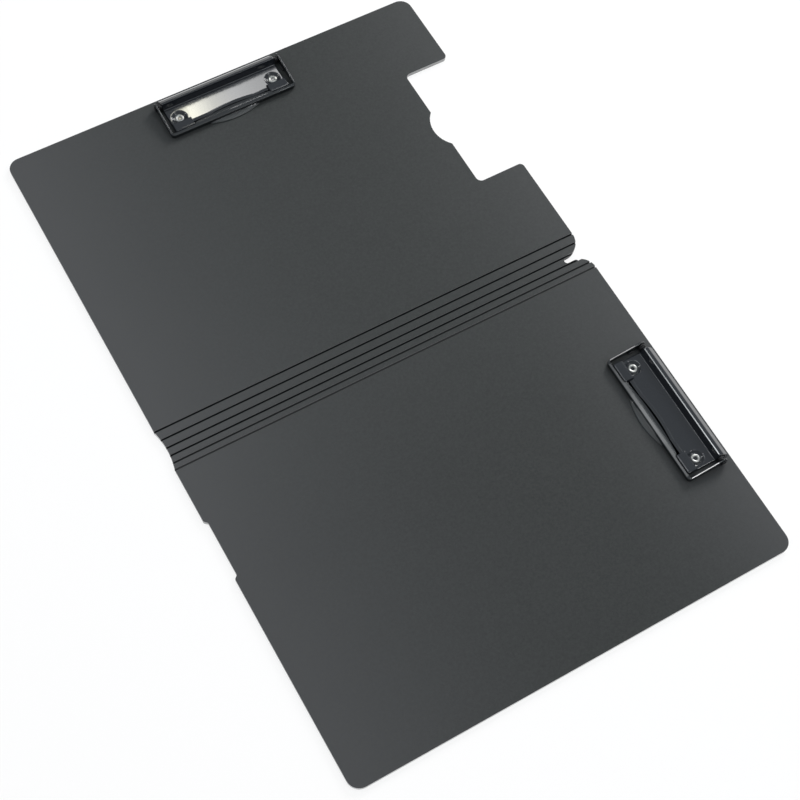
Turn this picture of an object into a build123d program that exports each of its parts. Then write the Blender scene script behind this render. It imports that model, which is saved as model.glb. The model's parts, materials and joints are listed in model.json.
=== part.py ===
from build123d import *
import math
import os

# A folding clipboard, lying open: a base panel and a cover joined by five spine
# strips, with a clip on the cover's far edge and another on the base's right edge.
# Millimetres. +X runs along the folds, +Y from the base to the cover, +Z up.
# The origin is the middle of the board's underside.

# Board
board_width = 315.0
panel_length = 229.4
board_thickness = 3.0
corner_radius = 8.5

# Spine: the strips grow wider towards the cover
strip_count = 5
first_strip = 4.7
strip_growth = 0.57
fold_angle = 30.0
fold_height = 0.5
fold_gap = 0.02
groove_allowance = 0.6

# Right end of the spine: a slot in the middle strip, flared to both panels
slot_width = 4.2
slot_straight = 0.5
slot_corner_allowance = 0.1

# Left end of the spine
spine_cut_depth = 2.0

# Notch in the cover's right edge, and the thumb recess in its inner edge
notch_start = 65.7
notch_length = 102.7
notch_depth = 35.1
notch_inner_radius = 4.0
notch_outer_radius = 3.2
thumb_chord = 29.6
thumb_depth = 6.1

# Shallow recess in the base's left edge
edge_recess_start = 147.5
edge_recess_length = 42.5
edge_recess_depth = 2.2
edge_recess_step = 2.0
edge_recess_radius = 1.5

# Clips: places on the board
edge_distance = 21.2
side_clip_place = 115.5

# Clip base plate: sheet with a flat window and a roof rail over the pivot rod
plate_sheet = 0.7
plate_top = 2.0
plate_front = -6.9
plate_front_bend = -4.5
plate_bow_chord = 35.0
plate_bow_depth = 2.2
flange_radius = 1.3
rail_foot_radius = 0.6
ridge_radius = 1.6
rail_front_slope = 62.6
rail_rear_slope = 41.8
rail_end_height = 0.95
rail_front_room = 0.2
rail_rear_room = 0.67

# Paper stops at the plate's front corners
stop_width = 14.5
stop_front = -8.8
stop_rear = -4.1
stop_top = 4.2
stop_radius = 1.1
stop_lap = 0.8

# Pivot rod
pivot_reach = 12.8
pivot_height = 3.6
rod_radius = 1.2
rod_head_radius = 2.0
rod_head_length = 0.6
rod_end_gap = 0.05
cheek_clearance = 0.02
ear_clearance = 0.05

# Jaw: one bent sheet that turns on the rod
jaw_half_width = 48.25
jaw_sheet = 0.9
jaw_floor_gap = 0.1
bar_front = -12.9
bar_lean = 0.4
bar_top = 4.3
bar_radius = 1.3
bar_end_rear = -11.1
bar_rear = -9.2
web_rear = -6.5
web_gap = 0.5
lip_half_chord = 19.0
lip_reach = -18.0
lip_height = 0.7
arm_floor_gap = 0.5
ear_floor_gap = 0.2

# Torsion springs round the rod's ends, in the gaps between the plate and the ears
spring_room = 3.35
wire_radius = 0.35
coil_radius = 2.3
spring_turns = 2
spring_side_gap = 0.17
leg_gap = 0.03
front_leg = 9.4
rear_leg = 5.7
tab_length = 3.0
tab_floor_gap = 0.05
foot_length = 4.5

# Rivets and their back washers
rivet_inset = 7.5
shank_radius = 2.0
shank_clearance = 0.1
rivet_bore_radius = 1.2
rivet_rim_radius = 3.2
rivet_rim_height = 0.9
rivet_foot_radius = 3.0
rivet_foot_height = 0.55
dimple_radius = 5.75
dimple_rim_margin = 0.35
dimple_lap = 0.5
washer_radius = 4.5
washer_thickness = 0.5
washer_clearance = 0.25
pocket_depth = 1.2
washer_face_gap = 0.02

# Worked out from the values above
strip_widths = [first_strip + strip_growth * number for number in range(strip_count)]
spine_width = sum(strip_widths)
board_length = 2 * panel_length + spine_width
half_width = board_width / 2
half_length = board_length / 2
fold_lines = [panel_length - half_length]
for width in strip_widths:
    fold_lines.append(fold_lines[-1] + width)

ear_inner = jaw_half_width - jaw_sheet
plate_half_width = ear_inner - spring_room
rivet_pitch = 2 * (plate_half_width - rivet_inset)

groove_slope = math.tan(math.radians(fold_angle / 2 + groove_allowance))
groove_half_width = (board_thickness - fold_height) * groove_slope

middle_fold = strip_count // 2
slot_middle = (fold_lines[middle_fold] + fold_lines[middle_fold + 1]) / 2
slot_near = slot_middle - slot_width / 2
slot_far = slot_middle + slot_width / 2
slot_corner_radius = slot_width / 2 - slot_corner_allowance
near_flare = slot_near - fold_lines[0]
far_flare = fold_lines[-1] - slot_far
slot_end = half_width - max(near_flare, far_flare) - slot_corner_radius - slot_straight

top_seat = Plane(
    origin=(0, half_length - edge_distance, board_thickness), x_dir=(1, 0, 0), z_dir=(0, 0, 1)
)
side_seat = Plane(
    origin=(half_width - edge_distance, side_clip_place - half_length, board_thickness),
    x_dir=(0, -1, 0),
    z_dir=(0, 0, 1),
)

os.makedirs("parts", exist_ok=True)


def finish(piece, name):
    piece.part.label = name
    export_step(piece.part, f"parts/{name}.step")


def segment_radius(chord, depth):
    # radius of the circle whose arc over this chord is this deep
    return ((chord / 2) ** 2 + depth**2) / (2 * depth)


# Board

def board_outline():
    notch_near = fold_lines[-1] + notch_start
    notch_far = notch_near + notch_length
    notch_side = half_width - notch_depth
    recess_near = edge_recess_start - half_length
    recess_far = recess_near + edge_recess_length
    corners = [
        ((-half_width, -half_length), corner_radius),
        ((half_width, -half_length), corner_radius),
        ((half_width, slot_near), near_flare),
        ((slot_end, slot_near), slot_corner_radius),
        ((slot_end, slot_far), slot_corner_radius),
        ((half_width, slot_far), far_flare),
        ((half_width, notch_near), notch_outer_radius),
        ((notch_side, notch_near), notch_inner_radius),
        ((notch_side, notch_far), notch_inner_radius),
        ((half_width, notch_far), notch_outer_radius),
        ((half_width, half_length), corner_radius),
        ((-half_width, half_length), corner_radius),
        ((-half_width, recess_far), edge_recess_radius),
        ((-half_width + edge_recess_depth, recess_far - edge_recess_step), edge_recess_radius),
        ((-half_width + edge_recess_depth, recess_near + edge_recess_step), edge_recess_radius),
        ((-half_width, recess_near), edge_recess_radius),
    ]
    thumb_radius = segment_radius(thumb_chord, thumb_depth)
    spine_cut_radius = segment_radius(spine_width, spine_cut_depth)
    with BuildSketch() as outline:
        with BuildLine():
            FilletPolyline(
                *[point for point, radius in corners],
                radius=[radius for point, radius in corners],
                close=True,
            )
        make_face()
        with Locations((notch_side - thumb_depth + thumb_radius, (notch_near + notch_far) / 2)):
            Circle(thumb_radius, mode=Mode.SUBTRACT)
        with Locations((-half_width + spine_cut_depth - spine_cut_radius, 0)):
            Circle(spine_cut_radius, mode=Mode.SUBTRACT)
    return outline.sketch


def board_section(number):
    # the section of one piece of the board across the folds: its sides are upright
    # below the fold line and lean back above it, to make room for the fold
    near = [(-half_length, board_thickness), (-half_length, 0)]
    far = [(half_length, 0), (half_length, board_thickness)]
    if number > 0:
        edge = fold_lines[number - 1] + fold_gap / 2
        near = [(edge + groove_half_width, board_thickness), (edge, fold_height), (edge, 0)]
    if number < len(fold_lines):
        edge = fold_lines[number] - fold_gap / 2
        far = [(edge, 0), (edge, fold_height), (edge - groove_half_width, board_thickness)]
    return near + far


def make_board_piece(number, name, seats):
    with BuildPart() as piece:
        with BuildSketch():
            add(board_outline())
        extrude(amount=board_thickness)
        with BuildSketch(Plane.YZ):
            with BuildLine():
                Polyline(*board_section(number), close=True)
            make_face()
        extrude(amount=board_width, both=True, mode=Mode.INTERSECT)
        for seat in seats:
            for side in (-1, 1):
                above = seat.from_local_coords((side * rivet_pitch / 2, 0, 0))
                with Locations(Plane(origin=(above.X, above.Y, 0), z_dir=(0, 0, -1))):
                    CounterBoreHole(
                        shank_radius + shank_clearance, washer_radius + washer_clearance, pocket_depth
                    )
    finish(piece, name)


# Clip pieces: drawn across the clip, u to the rear and h up from the board's top

rod_distance = rod_radius + rail_front_room + plate_sheet
rear_distance = rod_radius + rail_rear_room + plate_sheet
front_angle = math.radians(rail_front_slope)
rear_angle = math.radians(rail_rear_slope)
foot_drop = (plate_top - pivot_height - rod_distance * math.cos(front_angle)) / math.sin(front_angle)
rail_foot = (
    pivot_reach - rod_distance * math.sin(front_angle) + foot_drop * math.cos(front_angle),
    plate_top,
)
ridge_spread = math.sin(front_angle + rear_angle)
ridge = (
    pivot_reach
    + (rear_distance * math.cos(front_angle) - rod_distance * math.cos(rear_angle)) / ridge_spread,
    pivot_height
    + (rear_distance * math.sin(front_angle) + rod_distance * math.sin(rear_angle)) / ridge_spread,
)
rail_end = (
    pivot_reach
    + (rear_distance + (pivot_height - rail_end_height) * math.cos(rear_angle))
    / math.sin(rear_angle),
    rail_end_height,
)
ear_radius = pivot_height - ear_floor_gap
leg_height = pivot_height - coil_radius
leg_floor = leg_height - wire_radius - leg_gap


def across(seat, along=0.0):
    # the plane across a clip at a distance along it: u is its first axis, h its second
    return Plane(
        origin=seat.from_local_coords((along, 0, 0)), x_dir=seat.y_dir, z_dir=seat.x_dir
    )


def level(seat, height=0.0):
    # the plane level with a clip's seat: x along the clip, u to its rear
    return Plane(origin=seat.from_local_coords((0, 0, height)), x_dir=seat.x_dir, z_dir=seat.z_dir)


def upright(seat, along):
    # the upright plane through a rivet's axis: x along the clip, h up
    return Plane(
        origin=seat.from_local_coords((along, 0, 0)), x_dir=seat.x_dir, z_dir=-seat.y_dir
    )


def sheet_section(points, radii, thickness):
    # a bent sheet's section: its upper line, and the thickness below it
    with BuildSketch() as section:
        with BuildLine():
            FilletPolyline(*points, radius=radii)
            offset(amount=thickness, side=Side.RIGHT)
        make_face()
    return section.sketch


def solid_section(points, radii):
    with BuildSketch() as section:
        with BuildLine():
            FilletPolyline(*points, radius=radii, close=True)
        make_face()
    return section.sketch


def make_base_plate(seat, name):
    stop_inner = plate_half_width - stop_width
    stop_join = stop_rear + stop_lap
    rail = [rail_foot, ridge, rail_end]
    stop = [(stop_front, 0), (stop_front, stop_top), (stop_rear, stop_top)]
    with BuildPart() as plate:
        with BuildSketch(across(seat)):
            rear = [(stop_join, plate_top)] + rail
            add(sheet_section(rear, [rail_foot_radius, ridge_radius], plate_sheet))
        extrude(amount=plate_half_width, both=True)
        with BuildSketch(across(seat)):
            front = [(plate_front, 0), (plate_front_bend, plate_top), (stop_join, plate_top)]
            add(sheet_section(front, [flange_radius], plate_sheet))
        extrude(amount=stop_inner, both=True)
        # the front edge bows to the rear in the middle
        bow_radius = segment_radius(plate_bow_chord, plate_bow_depth)
        with BuildSketch(level(seat)):
            with Locations((0, plate_front + plate_bow_depth - bow_radius)):
                Circle(bow_radius)
        extrude(amount=plate_top, mode=Mode.SUBTRACT)
        for side in (-1, 1):
            # a paper stop: a raised box of the same sheet, with closed ends
            inner = side * stop_inner
            with BuildSketch(across(seat, inner)):
                bend = [(stop_rear + stop_lap / 2, plate_top), (stop_join + stop_lap, plate_top)]
                add(sheet_section(stop + bend, [stop_radius, stop_radius, 0], plate_sheet))
            extrude(amount=side * stop_width)
            wall_points = stop + [(stop_rear + stop_lap / 2, plate_top), (stop_join, plate_top)]
            wall_points.append((stop_join, 0))
            for start in (stop_inner, plate_half_width - plate_sheet):
                with BuildSketch(across(seat, side * start)):
                    add(solid_section(wall_points, [0, stop_radius, stop_radius, 0, 0, 0]))
                extrude(amount=side * plate_sheet)
            # the rail's end cheek, which holds the rod
            with BuildSketch(across(seat, side * (plate_half_width - plate_sheet))):
                cheek = [(rail_foot[0] - plate_sheet, 0), (rail_foot[0] - plate_sheet, plate_top)]
                cheek += rail + [(rail_end[0], 0)]
                add(solid_section(cheek, [0, 0, rail_foot_radius, ridge_radius, 0, 0]))
            extrude(amount=side * plate_sheet)
            # the foot under the spring's rear leg
            foot_middle = pivot_reach + rear_leg - foot_length / 2
            with BuildSketch(across(seat, side * (plate_half_width - plate_sheet))):
                with Locations((foot_middle, leg_floor / 2)):
                    Rectangle(foot_length, leg_floor)
            foot_width = plate_sheet + spring_side_gap + 2 * wire_radius
            extrude(amount=side * foot_width)
            # the rivet dimple, pressed down to the board
            floor_radius = rivet_rim_radius + dimple_rim_margin
            hole_radius = shank_radius + shank_clearance
            with BuildSketch(level(seat)):
                with Locations((side * rivet_pitch / 2, 0)):
                    Circle(dimple_radius)
            extrude(amount=plate_top, mode=Mode.SUBTRACT)
            with BuildSketch(upright(seat, side * rivet_pitch / 2)):
                with BuildLine():
                    Polyline(
                        (hole_radius, 0),
                        (floor_radius, 0),
                        (dimple_radius, plate_top - plate_sheet),
                        (dimple_radius + dimple_lap, plate_top - plate_sheet),
                        (dimple_radius + dimple_lap, plate_top),
                        (dimple_radius, plate_top),
                        (floor_radius, plate_sheet),
                        (hole_radius, plate_sheet),
                        close=True,
                    )
                make_face()
            rivet_axis = Axis(seat.from_local_coords((side * rivet_pitch / 2, 0, 0)), seat.z_dir)
            revolve(axis=rivet_axis)
        with BuildSketch(across(seat)):
            with Locations((pivot_reach, pivot_height)):
                Circle(rod_radius + cheek_clearance)
        extrude(amount=plate_half_width, both=True, mode=Mode.SUBTRACT)
        # the flange's edge is trimmed level, to rest on the board
        with BuildSketch(level(seat)):
            with Locations((0, plate_front)):
                Rectangle(2 * plate_half_width, 2 * plate_top)
        extrude(amount=-plate_top, mode=Mode.SUBTRACT)
    finish(plate, name)


def make_jaw(seat, name):
    bar_foot = (bar_front + bar_lean, jaw_floor_gap)
    bar_edge = (bar_front, bar_top)
    web_half_chord = plate_half_width - stop_width - web_gap
    with BuildPart() as jaw:
        with BuildSketch(across(seat)):
            add(sheet_section([bar_foot, bar_edge, (bar_end_rear, bar_top)], [bar_radius], jaw_sheet))
        extrude(amount=jaw_half_width, both=True)
        with BuildSketch(across(seat)):
            add(sheet_section([bar_foot, bar_edge, (bar_rear, bar_top)], [bar_radius], jaw_sheet))
        extrude(amount=web_half_chord, both=True)
        # the web: a lens that reaches back over the base plate's bowed edge
        with BuildSketch(level(seat, bar_top - jaw_sheet)):
            with BuildLine():
                ThreePointArc((-web_half_chord, bar_rear), (0, web_rear), (web_half_chord, bar_rear))
                Polyline(
                    (-web_half_chord, bar_rear),
                    (-web_half_chord, bar_end_rear),
                    (web_half_chord, bar_end_rear),
                    (web_half_chord, bar_rear),
                )
            make_face()
        extrude(amount=jaw_sheet)
        # the finger lip, in front of the bar
        lip_left = (-lip_half_chord, bar_front + bar_lean)
        lip_right = (lip_half_chord, bar_front + bar_lean)
        with BuildSketch(level(seat, lip_height)):
            with BuildLine():
                ThreePointArc(lip_left, (0, lip_reach), lip_right)
                Line(lip_left, lip_right)
            make_face()
        extrude(amount=jaw_sheet)
        for side in (-1, 1):
            # a side arm, ending in the ear round the rod
            with BuildSketch(across(seat, side * ear_inner)):
                with Locations(((bar_front + bar_end_rear) / 2, (bar_top + arm_floor_gap) / 2)):
                    Rectangle(bar_end_rear - bar_front, bar_top - arm_floor_gap)
                with Locations((pivot_reach, pivot_height)):
                    Circle(ear_radius)
                make_hull()
            extrude(amount=side * jaw_sheet)
            # the tab under the spring's front leg
            tab_middle = pivot_reach - front_leg + tab_length / 2
            tab_end = ear_inner - spring_side_gap - 2 * wire_radius
            with BuildSketch(across(seat, side * tab_end)):
                with Locations((tab_middle, (leg_floor + tab_floor_gap) / 2)):
                    Rectangle(tab_length, leg_floor - tab_floor_gap)
            extrude(amount=side * (jaw_half_width - tab_end))
        with BuildSketch(across(seat)):
            with Locations((pivot_reach, pivot_height)):
                Circle(rod_radius + ear_clearance)
        extrude(amount=jaw_half_width, both=True, mode=Mode.SUBTRACT)
    finish(jaw, name)


def make_rod(seat, name):
    rod_end = jaw_half_width + rod_end_gap
    with BuildPart() as rod:
        with BuildSketch(across(seat)):
            with Locations((pivot_reach, pivot_height)):
                Circle(rod_radius)
        extrude(amount=rod_end, both=True)
        for side in (-1, 1):
            with BuildSketch(across(seat, side * rod_end)):
                with Locations((pivot_reach, pivot_height)):
                    Circle(rod_head_radius)
            extrude(amount=side * rod_head_length)
    finish(rod, name)


def least_gap(path, wire, turn_length):
    # the least distance between stretches of the wire that are over half a turn apart
    step = turn_length / 24
    count = int(path.length / step)
    points = [path @ (number / count) for number in range(count + 1)]
    gaps = [
        (points[first] - points[second]).length - 2 * wire
        for first in range(count + 1)
        for second in range(first + 12, count + 1)
    ]
    return min(gaps)


def make_spring(seat, side, name):
    # a coil of half turns round the rod, each tilted by half the pitch, so that the
    # wire leaves every half turn level; both legs run straight out from its bottom
    outer = ear_inner - spring_side_gap - wire_radius
    inner = plate_half_width + spring_side_gap + wire_radius
    pitch = (outer - inner) / spring_turns

    def place(along, reach, height):
        return seat.from_local_coords((side * along, reach, height))

    with BuildPart() as spring:
        with BuildLine() as wire:
            Line(
                place(outer, pivot_reach - front_leg, leg_height),
                place(outer, pivot_reach, leg_height),
            )
            for half_turn in range(2 * spring_turns):
                start = outer - half_turn * pitch / 2
                end = start - pitch / 2
                up = 1 if half_turn % 2 == 0 else -1
                bulge = math.hypot(coil_radius, pitch / 4)
                ThreePointArc(
                    place(start, pivot_reach, pivot_height - up * coil_radius),
                    place((start + end) / 2, pivot_reach + up * bulge, pivot_height),
                    place(end, pivot_reach, pivot_height + up * coil_radius),
                )
            Line(
                place(inner, pivot_reach, leg_height),
                place(inner, pivot_reach + rear_leg, leg_height),
            )
        path = wire.wires()[0]
        with BuildSketch(Plane(origin=path @ 0, z_dir=path % 0)):
            Circle(wire_radius)
        sweep()
    gap = least_gap(path, wire_radius, 2 * math.pi * coil_radius)
    print(f"{name}: wire length {path.length:.1f}, least gap to itself {gap:.2f}")
    finish(spring, name)


def make_rivets(seat, name):
    # two tubular rivets: a rim on the dimple's floor, a shank through the board and
    # a rolled foot under the back washer
    rim_floor = plate_sheet
    washer_floor = pocket_depth - washer_thickness - washer_face_gap - board_thickness
    with BuildPart() as rivets:
        for side in (-1, 1):
            with BuildSketch(upright(seat, side * rivet_pitch / 2)):
                with BuildLine():
                    Polyline(
                        (rivet_bore_radius, washer_floor - rivet_foot_height),
                        (rivet_foot_radius, washer_floor - rivet_foot_height),
                        (rivet_foot_radius, washer_floor),
                        (shank_radius, washer_floor),
                        (shank_radius, rim_floor),
                        (rivet_rim_radius, rim_floor),
                        (rivet_rim_radius, rim_floor + rivet_rim_height / 2),
                        (rivet_rim_radius - rivet_rim_height / 2, rim_floor + rivet_rim_height),
                        (rivet_bore_radius, rim_floor + rivet_rim_height),
                        close=True,
                    )
                make_face()
            revolve(
                axis=Axis(seat.from_local_coords((side * rivet_pitch / 2, 0, 0)), seat.z_dir)
            )
    finish(rivets, name)


def make_washers(seat, name):
    with BuildPart() as washers:
        with BuildSketch(level(seat, pocket_depth - washer_face_gap / 2 - board_thickness)):
            with Locations((-rivet_pitch / 2, 0), (rivet_pitch / 2, 0)):
                Circle(washer_radius)
                Circle(shank_radius + shank_clearance, mode=Mode.SUBTRACT)
        extrude(amount=-washer_thickness)
    finish(washers, name)


make_board_piece(0, "base_panel", [side_seat])
for number in range(1, strip_count + 1):
    make_board_piece(number, f"spine_strip_{number}", [])
make_board_piece(strip_count + 1, "cover_panel", [top_seat])

for seat, clip in ((top_seat, "top_clip"), (side_seat, "side_clip")):
    make_base_plate(seat, f"{clip}_base_plate")
    make_jaw(seat, f"{clip}_jaw")
    make_rod(seat, f"{clip}_pivot_rod")
    make_spring(seat, -1, f"{clip}_left_spring")
    make_spring(seat, 1, f"{clip}_right_spring")
    make_rivets(seat, f"{clip}_rivets")
    make_washers(seat, f"{clip}_washers")
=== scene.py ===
import bpy
import bmesh
import json
import math
import numpy as np
from mathutils import Matrix, Vector


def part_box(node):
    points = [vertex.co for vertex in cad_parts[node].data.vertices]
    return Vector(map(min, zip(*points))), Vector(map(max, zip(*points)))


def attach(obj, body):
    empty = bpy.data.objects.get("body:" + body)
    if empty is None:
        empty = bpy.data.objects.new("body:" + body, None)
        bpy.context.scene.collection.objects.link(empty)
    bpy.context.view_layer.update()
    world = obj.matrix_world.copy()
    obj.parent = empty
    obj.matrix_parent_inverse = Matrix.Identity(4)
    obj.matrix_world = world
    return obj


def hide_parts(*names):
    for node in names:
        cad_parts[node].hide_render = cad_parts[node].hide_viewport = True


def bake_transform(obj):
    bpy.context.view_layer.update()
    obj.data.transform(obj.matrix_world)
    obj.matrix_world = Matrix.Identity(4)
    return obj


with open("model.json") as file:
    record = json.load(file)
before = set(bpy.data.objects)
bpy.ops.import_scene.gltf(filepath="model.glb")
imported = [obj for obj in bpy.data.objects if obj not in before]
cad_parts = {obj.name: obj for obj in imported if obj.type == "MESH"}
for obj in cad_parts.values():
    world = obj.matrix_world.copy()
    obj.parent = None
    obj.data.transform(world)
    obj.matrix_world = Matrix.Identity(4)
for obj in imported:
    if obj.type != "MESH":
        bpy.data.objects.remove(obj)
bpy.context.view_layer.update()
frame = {"nodes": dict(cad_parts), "record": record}
print("frame loaded")

mm = 0.001
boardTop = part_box("cover_panel")[1].z / mm
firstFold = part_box("base_panel")[1].y / mm


# Shader building

class Wire:
    # one output of a node; an expression on wires and numbers adds its Math nodes
    def __init__(self, graph, socket):
        self.graph = graph
        self.socket = socket

    def maths(self, operation, first, second=0.0, clamp=False):
        made = self.graph.node(
            "ShaderNodeMath", {"operation": operation, "use_clamp": clamp}, {0: first, 1: second}
        )
        return Wire(self.graph, made.outputs[0])

    def __add__(self, other):
        return self.maths("ADD", self, other)

    def __radd__(self, other):
        return self.maths("ADD", other, self)

    def __sub__(self, other):
        return self.maths("SUBTRACT", self, other)

    def __rsub__(self, other):
        return self.maths("SUBTRACT", other, self)

    def __mul__(self, other):
        return self.maths("MULTIPLY", self, other)

    def __truediv__(self, other):
        return self.maths("DIVIDE", self, other)

    def __abs__(self):
        return self.maths("ABSOLUTE", self)

    def atLeast(self, low):
        return self.maths("MAXIMUM", self, low)

    def atMost(self, high):
        return self.maths("MINIMUM", self, high)

    def above(self, edge, soft):
        # 0 below the edge, 1 above it, with a ramp of this width between
        return self.maths("MULTIPLY", self - (edge - soft / 2), 1.0 / soft, clamp=True)

    def below(self, edge, soft):
        return 1 - self.above(edge, soft)


class Graph:
    def __init__(self, holder):
        # the holder is a material or a world
        self.holder = holder
        holder.use_nodes = True
        self.tree = holder.node_tree
        self.tree.nodes.clear()

    def node(self, kind, settings, values):
        # adds a node: its settings first, then the values or links of its sockets
        made = self.tree.nodes.new(kind)
        for name, value in settings.items():
            setattr(made, name, value)
        for name, value in values.items():
            if isinstance(value, Wire):
                self.tree.links.new(value.socket, made.inputs[name])
            else:
                made.inputs[name].default_value = value
        return made

    def wire(self, made, name):
        return Wire(self, made.outputs[name])

    def place(self):
        return self.wire(self.node("ShaderNodeTexCoord", {}, {}), "Object")

    def parts(self, vector):
        split = self.node("ShaderNodeSeparateXYZ", {}, {0: vector})
        return [self.wire(split, name) for name in ("X", "Y", "Z")]

    def noise(self, vector, size, detail=2.0, roughness=0.5):
        made = self.node(
            "ShaderNodeTexNoise", {},
            {"Vector": vector, "Scale": 1 / (size * mm), "Detail": detail, "Roughness": roughness},
        )
        return self.wire(made, "Fac")

    def mix(self, share, first, second):
        # inputs 6 and 7 and output 2 are the Mix node's colours
        made = self.node("ShaderNodeMix", {"data_type": "RGBA"}, {"Factor": share, 6: first, 7: second})
        return Wire(self, made.outputs[2])

    def bump(self, height, depth, strength=1.0):
        made = self.node(
            "ShaderNodeBump", {}, {"Height": height, "Distance": depth * mm, "Strength": strength}
        )
        return self.wire(made, "Normal")

    def finish(self, values):
        shader = self.node("ShaderNodeBsdfPrincipled", {}, values)
        self.node("ShaderNodeOutputMaterial", {}, {"Surface": self.wire(shader, "BSDF")})
        return self.holder


# Finishes

boardLook = {
    # the top's tone drifts between the first two tones as painted light: dark in the middle, light at the
    # sides
    "darkTone": (0.0245, 0.0272, 0.0263, 1),
    "paintedLightTone": (0.064, 0.065, 0.066, 1),
    "grainTone": (0.068, 0.071, 0.071, 1),
    "edgeTone": (0.30, 0.30, 0.29, 1),
    # the two groove tones are painted shade in the grooves between the strips, the faint one at the first
    # fold
    "grooveShadeTone": (0.017, 0.018, 0.019, 1),
    "firstGrooveShadeTone": (0.10, 0.10, 0.10, 1),
    "darkMiddle": 55.0, "leftReach": 205.0, "rightReach": 95.0,
    "rightShare": 0.35, "nearRightShare": 0.4,
    "nearPlace": -60.0, "nearBlend": 80.0, "nearPaintedShade": 0.13,
    "cloudSize": 90.0, "cloudShare": 0.12,
    "grainSize": 0.45, "grainDepth": 0.03, "speckSize": 1.8,
    "grainStart": 0.5, "grainBlend": 0.35, "grainShare": 0.32,
    "topRoughness": 0.62, "grainRoughness": 0.16, "ior": 1.46, "specular": 0.25,
    "edgeTilt": 0.6, "edgeBlend": 0.3, "edgeRoughness": 0.30, "coatRoughness": 0.12, "coatIor": 1.5,
    "grooveDepth": 0.25, "grooveBlend": 0.4, "grooveTilt": 0.8, "grooveTiltBlend": 0.2,
    "spineHalf": 16.0, "spineBlend": 1.0,
    "faintReach": 4.0, "faintBlend": 8.0,
}


def boardPlastic():
    # fine moulded grain; painted light and shade on the top: the tone rises to both sides of a
    # darker middle by the square of the distance, and the near panel is painted a little darker
    # than the far one; the cut edges are smoother and paler, and the grooves between the strips
    # are painted nearly black as the shade in them, the first one less so
    look = boardLook
    graph = Graph(bpy.data.materials.new("boardPlastic"))
    spot = graph.place()
    across, along, height = graph.parts(spot)
    normal = graph.parts(graph.wire(graph.node("ShaderNodeNewGeometry", {}, {}), "Normal"))
    # painted light: the top grows paler toward both sides of a darker middle, by the square of the distance,
    # more so at the near right; the cloud added to it is random tone
    fromMiddle = across - look["darkMiddle"] * mm
    left = (0 - fromMiddle).atLeast(0.0) / (look["leftReach"] * mm)
    right = fromMiddle.atLeast(0.0) / (look["rightReach"] * mm)
    cloud = (graph.noise(spot, look["cloudSize"]) - 0.5) * look["cloudShare"]
    near = along.below(look["nearPlace"] * mm, look["nearBlend"] * mm)
    paintedLightAndCloud = left * left + right * right * (near * look["nearRightShare"] + look["rightShare"]) + cloud
    fine = graph.noise(spot, look["grainSize"], detail=3.0, roughness=0.6)
    speck = graph.noise(spot, look["speckSize"], roughness=0.6)
    grains = (fine * 0.5 + speck * 0.5).above(look["grainStart"], look["grainBlend"])
    tone = graph.mix(paintedLightAndCloud.atMost(1.0), look["darkTone"], look["paintedLightTone"])
    # painted shade: the near panel is made a little darker
    tone = graph.mix(near * look["nearPaintedShade"], tone, (0, 0, 0, 1))
    tone = graph.mix(grains * look["grainShare"], tone, look["grainTone"])
    # 1 where a face stands upright in the scene, as the cut edges do while the board is open
    upright = abs(normal[2]).below(look["edgeTilt"], look["edgeBlend"])
    tone = graph.mix(upright, tone, look["edgeTone"])
    low = height.below((boardTop - look["grooveDepth"]) * mm, look["grooveBlend"] * mm)
    spine = abs(along).below(look["spineHalf"] * mm, look["spineBlend"] * mm)
    facing = abs(normal[1]).above(look["grooveTilt"], look["grooveTiltBlend"])
    groove = low * spine * facing
    faint = along.below((firstFold + look["faintReach"]) * mm, look["faintBlend"] * mm)
    # painted shade: the groove walls take the dark groove tone, the first fold a paler one
    tone = graph.mix(groove, tone, graph.mix(faint, look["grooveShadeTone"], look["firstGrooveShadeTone"]))
    rough = look["topRoughness"] + (fine - 0.5) * look["grainRoughness"]
    rough = rough * (1 - upright) + upright * look["edgeRoughness"]
    grain = graph.bump((fine * 0.75 + speck * 0.25) * (1 - upright), look["grainDepth"])
    return graph.finish({
        "Base Color": tone, "Roughness": rough, "Normal": grain, "IOR": look["ior"],
        "Specular IOR Level": look["specular"], "Coat Weight": upright * (1 - groove),
        "Coat Roughness": look["coatRoughness"], "Coat IOR": look["coatIor"],
    })


enamelLook = {
    "plateTone": (0.013, 0.015, 0.018, 1),
    "jawTone": (0.012, 0.014, 0.015, 1),
    "dustTone": (0.020, 0.020, 0.021, 1),
    "paleLipTone": (0.036, 0.040, 0.040, 1),
    "roughness": 0.022, "dustRoughness": 0.03, "paleLipRoughness": 0.45, "ior": 1.52,
    "dustSize": 0.5, "dustStart": 0.70, "dustBlend": 0.1, "dustShare": 0.35,
    "rippleSize": 8.0, "rippleDepth": 0.003, "rippleStrength": 0.5,
}


def glossBlack(name, tone):
    # stoved gloss enamel on pressed steel: a faint ripple, fine dust that dulls it a little,
    # and a paler matt tone on the finger lip, where the lip's point attribute is 1
    look = enamelLook
    graph = Graph(bpy.data.materials.new(name))
    spot = graph.place()
    paleLip = graph.wire(graph.node("ShaderNodeAttribute", {"attribute_name": "paleLip"}, {}), "Fac")
    ripple = graph.noise(spot, look["rippleSize"])
    dust = graph.noise(spot, look["dustSize"], detail=3.0, roughness=0.6)
    dust = dust.above(look["dustStart"], look["dustBlend"])
    colour = graph.mix(dust * look["dustShare"], tone, look["dustTone"])
    colour = graph.mix(paleLip, colour, look["paleLipTone"])
    rough = look["roughness"] + dust * look["dustRoughness"] + paleLip * look["paleLipRoughness"]
    normal = graph.bump(ripple, look["rippleDepth"], look["rippleStrength"])
    return graph.finish({"Base Color": colour, "Roughness": rough, "IOR": look["ior"], "Normal": normal})


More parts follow.
